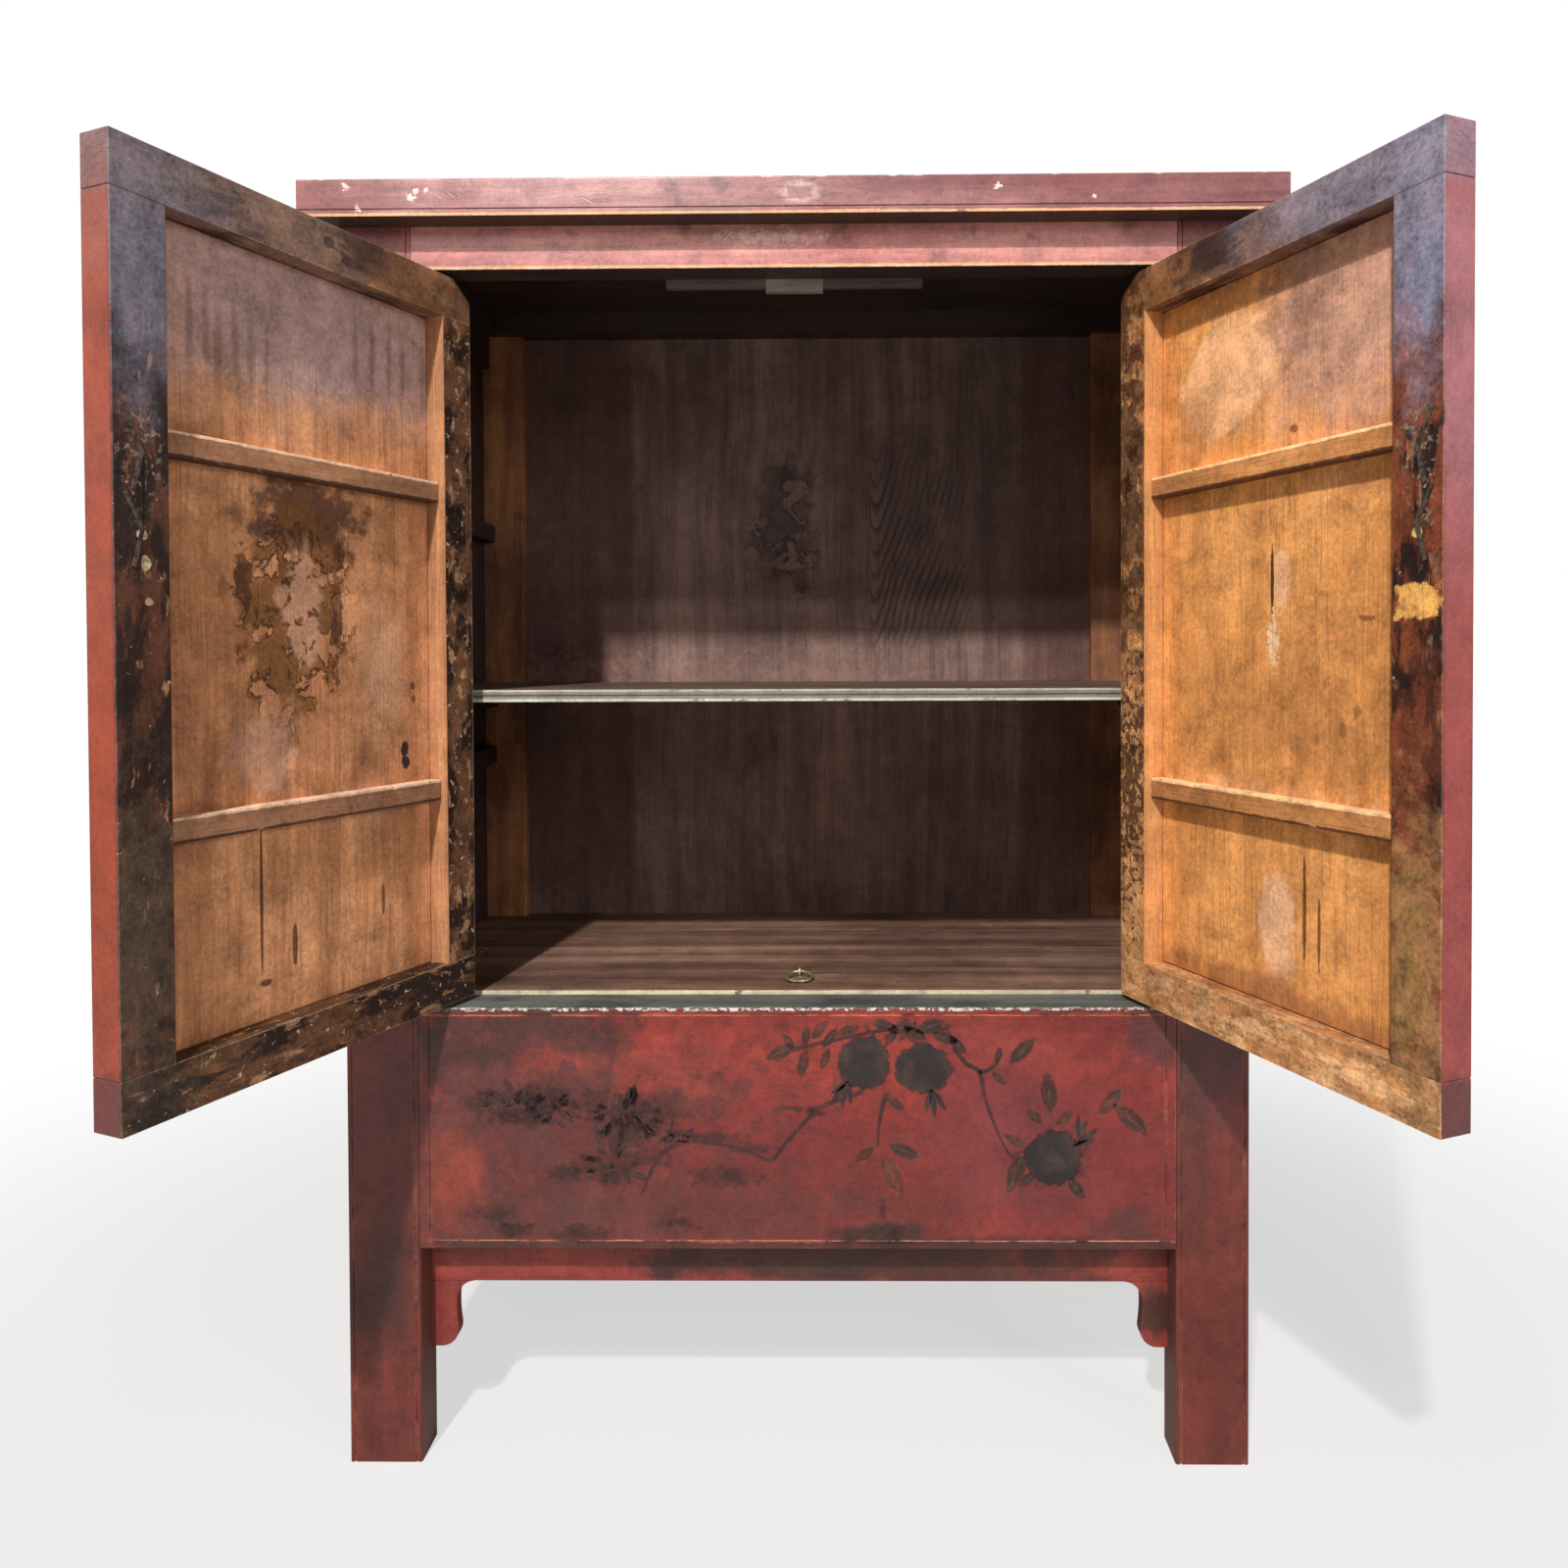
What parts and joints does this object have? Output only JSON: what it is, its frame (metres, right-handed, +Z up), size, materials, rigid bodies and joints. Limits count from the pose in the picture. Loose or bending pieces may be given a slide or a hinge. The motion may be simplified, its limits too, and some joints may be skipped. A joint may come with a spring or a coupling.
{
  "type": "chinese wedding cabinet",
  "caption": "Tall lacquered two-door cabinet with open pivot-hung doors, a shelf, a lift-out lid over a low compartment, shaped feet brackets and a flat crown.",
  "frame": {"origin": "bottom centre of the whole cabinet with its doors open", "axes": "+Z up, +X to the right as seen from the front, +Y from the front towards the back"},
  "size_m": [1.3914, 1.0296, 1.75],
  "materials": {
    "red_lacquer": "worn red lacquer, semi-gloss",
    "dark_frame_wood": "worn lacquer on the edges, dark scuffed inner face",
    "bare_panel_wood": "bare wood inside, lacquered outside",
    "interior_wood": "bare wood, darkened by age",
    "iron": "dark wrought iron",
    "brass": "worn pale brass"
  },
  "bodies": {
    "carcass": {"compartment_floor": "interior_wood", "crown_front_rail": "red_lacquer", "crown_panel": "red_lacquer", "crown_rear_rail": "red_lacquer", "door_stop": "interior_wood", "door_stop_cleats": "interior_wood", "floor_bearers": "interior_wood", "floor_end_boards": "interior_wood", "front_apron": "red_lacquer", "front_frieze_rail": "red_lacquer", "left_crown_side_rail": "red_lacquer", "left_front_bracket": "red_lacquer", "left_front_post": "red_lacquer", "left_rear_post": "interior_wood", "left_side_bottom_rail": "red_lacquer", "left_side_mid_rail": "red_lacquer", "left_side_top_rail": "red_lacquer", "left_side_upper_panel": "red_lacquer", "lower_front_panel": "red_lacquer", "lower_front_rail": "red_lacquer", "rear_bottom_rail": "interior_wood", "rear_floor_board": "interior_wood", "rear_lower_panel": "interior_wood", "rear_mid_rail": "interior_wood", "rear_top_rail": "interior_wood", "rear_upper_boards": "interior_wood", "right_crown_side_rail": "red_lacquer", "right_front_bracket": "red_lacquer", "right_front_post": "red_lacquer", "right_rear_post": "interior_wood", "right_side_bottom_rail": "red_lacquer", "right_side_mid_rail": "red_lacquer", "right_side_top_rail": "red_lacquer", "right_side_upper_panel": "red_lacquer", "shelf": "interior_wood", "shelf_bearers": "interior_wood", "side_aprons": "red_lacquer", "side_battens": "interior_wood", "side_lower_panels": "red_lacquer", "sill_rail": "red_lacquer"},
    "left_door": {"left_door_top_rail": "dark_frame_wood", "left_door_bottom_rail": "dark_frame_wood", "left_door_hinge_stile": "dark_frame_wood", "left_door_free_stile": "dark_frame_wood", "left_door_panel": "bare_panel_wood", "left_door_battens": "interior_wood", "left_door_split_pins": "iron"},
    "left_pull": {"left_door_pull": "brass"},
    "right_door": {"right_door_top_rail": "dark_frame_wood", "right_door_bottom_rail": "dark_frame_wood", "right_door_hinge_stile": "dark_frame_wood", "right_door_free_stile": "dark_frame_wood", "right_door_panel": "bare_panel_wood", "right_door_battens": "interior_wood", "right_door_split_pins": "iron"},
    "right_pull": {"right_door_pull": "brass"},
    "lid": {"floor_lid": "interior_wood", "lid_ring_pin": "brass", "lid_rose": "brass"},
    "lid_ring_body": {"lid_ring": "brass"}
  },
  "joints": [
    {"name": "left_door_hinge", "type": "hinge", "parent": "carcass", "child": "left_door", "pos_m": [-0.488, -0.05516, 1.1], "axis": [0, 0, 1], "range_deg": [-1.5, 112]},
    {"name": "left_pull_swing", "type": "hinge", "parent": "left_door", "child": "left_pull", "pos_m": [-0.6833, -0.4686, 1.245], "axis": [0.3746, 0.9272, 0], "range_deg": [-4, 150]},
    {"name": "right_door_hinge", "type": "hinge", "parent": "carcass", "child": "right_door", "pos_m": [0.488, -0.05516, 1.1], "axis": [0, 0, -1], "range_deg": [-1.5, 112]},
    {"name": "right_pull_swing", "type": "hinge", "parent": "right_door", "child": "right_pull", "pos_m": [0.6833, -0.4686, 1.245], "axis": [0.3746, -0.9272, 0], "range_deg": [-4, 150]},
    {"name": "lid_lift", "type": "slide", "parent": "carcass", "child": "lid", "axis": [0, 0, 1], "range_m": [0, 0.15]},
    {"name": "lid_ring_swing", "type": "hinge", "parent": "lid", "child": "lid_ring_body", "pos_m": [0, 0.05434, 0.6447], "axis": [-1, 0, 0], "range_deg": [0, 185]}
  ]
}
